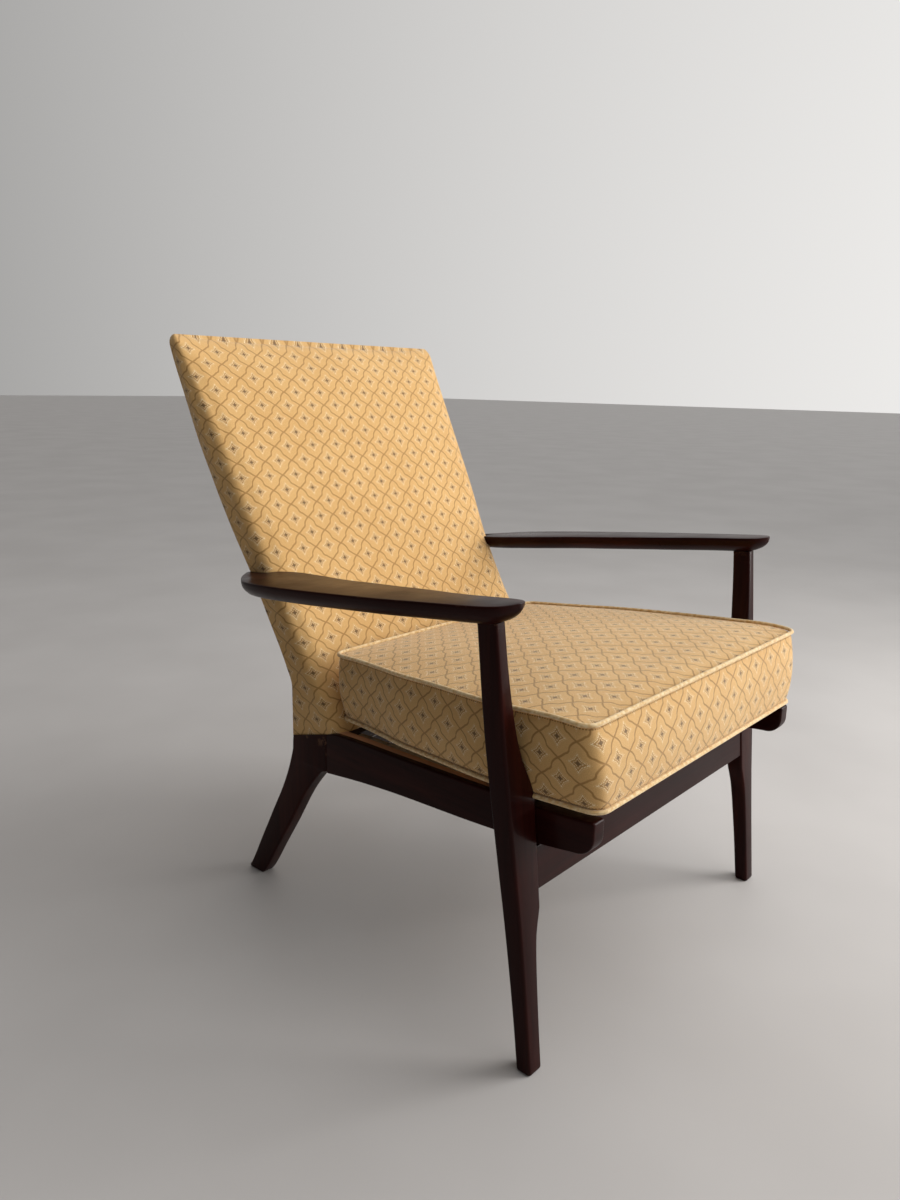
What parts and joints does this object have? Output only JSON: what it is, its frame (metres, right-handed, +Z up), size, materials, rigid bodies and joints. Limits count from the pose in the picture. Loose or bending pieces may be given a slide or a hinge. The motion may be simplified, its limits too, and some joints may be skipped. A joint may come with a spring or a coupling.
{
  "type": "armchair",
  "caption": "Low open-arm easy chair with a stained show-wood frame, fixed raked upholstered back, tension-sprung seat and a loose piped box cushion.",
  "frame": {"origin": "on the floor, at the middle of the chair in width and depth", "axes": "+Z up, +Y from the front edge of the seat to the back, +X to the left of the person who sits in it"},
  "size_m": [0.72, 0.8034, 0.868],
  "materials": {
    "show_wood": "dark red-brown stain under semi-gloss lacquer",
    "frame_beech": "unstained planed beech",
    "spring_steel": "oiled drawn steel wire and strip",
    "damask": "woven gold damask with a small trellis and diamond motif",
    "foam": "open-cell polyurethane foam",
    "wadding": "layered cotton and fibre wadding"
  },
  "bodies": {
    "frame": {"left_front_leg": "show_wood", "left_side_rail": "show_wood", "left_back_leg": "show_wood", "left_armrest": "show_wood", "left_spring_ledge": "frame_beech", "left_spring_strip": "spring_steel", "left_back_stile": "frame_beech", "left_arm_screw": "spring_steel", "left_rail_screw_lower": "spring_steel", "left_rail_screw_upper": "spring_steel", "right_front_leg": "show_wood", "right_side_rail": "show_wood", "right_back_leg": "show_wood", "right_armrest": "show_wood", "right_spring_ledge": "frame_beech", "right_spring_strip": "spring_steel", "right_back_stile": "frame_beech", "right_arm_screw": "spring_steel", "right_rail_screw_lower": "spring_steel", "right_rail_screw_upper": "spring_steel", "front_rail": "show_wood", "rear_seat_rail": "frame_beech", "back_top_rail": "frame_beech", "back_bottom_rail": "frame_beech", "seat_spring_1": "spring_steel", "seat_spring_2": "spring_steel", "seat_spring_3": "spring_steel", "seat_spring_4": "spring_steel", "seat_spring_5": "spring_steel", "seat_spring_6": "spring_steel", "seat_spring_7": "spring_steel", "seat_spring_8": "spring_steel", "seat_spring_9": "spring_steel", "back_spring_1": "spring_steel", "back_spring_2": "spring_steel", "back_spring_3": "spring_steel", "back_spring_4": "spring_steel", "back_spring_5": "spring_steel", "back_spring_6": "spring_steel", "back_padding": "wadding", "back_cover": "damask", "outside_back_panel": "damask"},
    "seat_cushion": {"cushion_cover": "damask", "cushion_foam": "foam"}
  },
  "joints": [
    {"name": "cushion_lift", "type": "slide", "parent": "frame", "child": "seat_cushion", "axis": [0, 0, 1], "range_m": [0, 0.6]}
  ]
}
